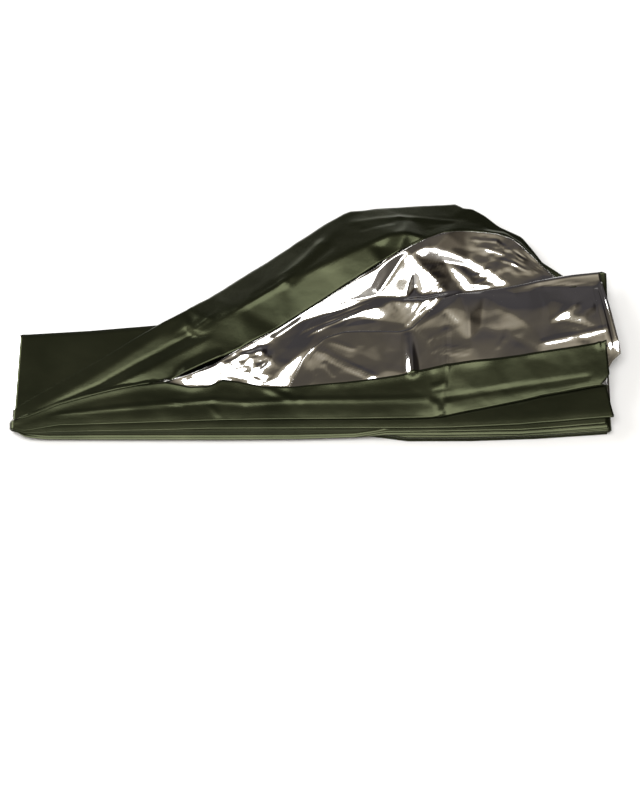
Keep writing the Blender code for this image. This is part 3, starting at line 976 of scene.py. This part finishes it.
def pile_points():
    """Three packed lengths as one grid: back and forth across, and down round the ends of the pile.

    A station goes along the top length, round the right end, back along the middle one, round the left end
    and along the bottom one.  At each station the film's thirteen layers stand across that line, so that
    they nest where it turns.
    """
    draw = np.random.default_rng(21)
    pitch = LENGTH_PILE / PANELS
    half = LENGTH_PILE / 2
    middles = [PILE_TOP - half, PILE_TOP - 3 * half, half]
    inner = np.linspace(PILE_LEFT + 6.0, PILE_RIGHT - 6.0, PILE_STATIONS - 4)
    ahead = np.concatenate(((PILE_LEFT, PILE_LEFT + 2.0), inner, (PILE_RIGHT - 2.0, PILE_RIGHT)))
    angle = math.pi * np.arange(1, PILE_TURN + 1) / (PILE_TURN + 1)
    zero, one = np.zeros(PILE_STATIONS), np.ones(PILE_STATIONS)
    at_turn = np.ones(PILE_TURN)
    base_x = np.concatenate((ahead, at_turn * PILE_RIGHT, ahead[::-1], at_turn * PILE_LEFT, ahead))
    base_z = np.concatenate((
        one * middles[0],
        at_turn * (middles[0] - half),
        one * middles[1],
        at_turn * (middles[1] - half),
        one * middles[2],
    ))
    # Round an end the line itself runs on a half circle of radius half.  out is the way that the layers
    # are counted in, and round is the line's own offset from the middle of its turn.
    out_x = np.concatenate((zero, np.sin(angle), zero, np.sin(angle), zero))
    out_z = np.concatenate((one, np.cos(angle), -one, -np.cos(angle), one))
    round_x = np.concatenate((zero, half * np.sin(angle), zero, -half * np.sin(angle), zero))
    round_z = np.concatenate((zero, half * np.cos(angle), zero, half * np.cos(angle), zero))

    x = base_x[:, None]
    front = column(PILE_EDGES, x, "front")
    back = column(PILE_EDGES, x, "back")
    edges = []
    for k in range(PANELS + 1):
        sway = PILE_SWAY * np.sin(x / draw.uniform(60.0, 120.0) + draw.uniform(0.0, 6.0))
        if k % 2:
            edges.append(front + draw.uniform(0.0, 1.6) + sway)
        else:
            square = PILE_BACK + draw.uniform(-1.5, 1.0) + sway
            edges.append(back if k == 0 else square)
    ys, ws = [], []
    for k in range(PANELS):
        w = half - pitch * (k + 0.5)
        side = 1.0 if k % 2 == 0 else -1.0
        r = pitch / 2
        start = edges[k] - side * (r if k else 0.0)
        end = edges[k + 1] + side * (r if k < PANELS - 1 else 0.0)
        if k:
            turn = math.pi * np.arange(1, 4) / 4
            ys.append(start + side * r * np.sin(turn))
            ws.append(w + r + r * np.cos(turn) + 0.0 * x)
        ys.append(between(start, end, PILE_SHARES))
        ws.append(w + 0.0 * ys[-1])
    y = np.concatenate(ys, axis=1)
    w = np.concatenate(ws, axis=1)
    px = x + round_x[:, None] + w * out_x[:, None]
    pz = base_z[:, None] + round_z[:, None] + w * out_z[:, None]
    return np.stack((px, y, np.maximum(pz, FILM)), axis=-1)


# ---- Film ----

def film_mesh(name, grids):
    """One mesh of several grids of points (stations, points across, 3), in millimetres."""
    points, faces, start = [], [], 0
    for grid in grids:
        rows, across = grid.shape[:2]
        index = start + np.arange(rows * across).reshape(rows, across)
        quads = (index[:-1, :-1], index[:-1, 1:], index[1:, 1:], index[1:, :-1])
        faces.append(np.stack(quads, axis=-1).reshape(-1, 4))
        points.append(grid.reshape(-1, 3))
        start += rows * across
    points = np.concatenate(points) * MM + np.array((LEFT, FRONT, 0.0))
    faces = np.concatenate(faces)
    mesh = bpy.data.meshes.new(name)
    mesh.from_pydata(points, [], faces)
    mesh.polygons.foreach_set("use_smooth", np.ones(len(faces), bool))
    mesh.update()
    return mesh


def add_film():
    """Film as a thin closed shell, olive on its first face and silver on the other."""
    mesh = film_mesh("blanket_film", [fan_points(), pile_points()])
    film = add_object("blanket_film", mesh)
    mesh.materials.append(OLIVE)
    mesh.materials.append(SILVER)
    shell = film.modifiers.new("film", "SOLIDIFY")
    shell.thickness = FILM * MM
    shell.offset = -1.0
    shell.material_offset = 1
    return film


def node(tree, kind, **inputs):
    """A shader node with the named inputs set to plain values."""
    made = tree.nodes.new(kind)
    for key, value in inputs.items():
        made.inputs[key].default_value = value
    return made


OLIVE_SHADES = ((0.3, (0.030, 0.034, 0.0175)), (0.7, (0.043, 0.047, 0.025)))
SILVER_COLOUR = (0.88, 0.875, 0.865)
DENT = 0.0008           # depth of the finest creases, in metres


def film_material(name, metallic, cloud, wrinkle, roughness, strength):
    """A film material, its node tree, its shader and the noise that makes its gloss uneven.

    cloud and wrinkle are the scale and detail of that noise and of the one that dents the face, and
    roughness is the gloss's least and most.
    """
    material, tree, shader = add_material(name)
    shader.inputs["Metallic"].default_value = metallic
    where = node(tree, "ShaderNodeTexCoord")
    clouds = node(tree, "ShaderNodeTexNoise", Scale=cloud[0], Detail=cloud[1])
    wrinkles = node(tree, "ShaderNodeTexNoise", Scale=wrinkle[0], Detail=wrinkle[1])
    gloss = node(tree, "ShaderNodeMapRange")
    gloss.inputs["To Min"].default_value, gloss.inputs["To Max"].default_value = roughness
    bump = node(tree, "ShaderNodeBump", Strength=strength, Distance=DENT)
    for start, end in (
        (where.outputs["Object"], clouds.inputs["Vector"]),
        (where.outputs["Object"], wrinkles.inputs["Vector"]),
        (clouds.outputs["Fac"], gloss.inputs["Value"]),
        (gloss.outputs[0], shader.inputs["Roughness"]),
        (wrinkles.outputs["Fac"], bump.inputs["Height"]),
        (bump.outputs[0], shader.inputs["Normal"]),
    ):
        tree.links.new(start, end)
    return material, tree, shader, clouds


def olive_film():
    """Olive lacquer over the metallised film: a dim tinted sheen, a little cloudy, with faint creases."""
    material, tree, shader, clouds = film_material(
        "olive_film", metallic=0.85, cloud=(22.0, 3.0), wrinkle=(90.0, 4.0), roughness=(0.22, 0.28),
        strength=0.15)
    shader.inputs["Specular IOR Level"].default_value = 0.3
    shade = node(tree, "ShaderNodeValToRGB")
    for element, (place, colour) in zip(shade.color_ramp.elements, OLIVE_SHADES):
        element.position = place
        element.color = (*colour, 1.0)
    tree.links.new(clouds.outputs["Fac"], shade.inputs[0])
    tree.links.new(shade.outputs[0], shader.inputs["Base Color"])
    return material


def silver_film():
    """Metallised film: a mirror face broken up by fine crinkles."""
    material, _, shader, _ = film_material(
        "silver_film", metallic=1.0, cloud=(70.0, 3.0), wrinkle=(70.0, 3.0), roughness=(0.03, 0.12),
        strength=0.06)
    shader.inputs["Base Color"].default_value = (*SILVER_COLOUR, 1.0)
    return material


OLIVE = olive_film()
SILVER = silver_film()
film = add_film()
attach(film, "root")
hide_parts(NODE)
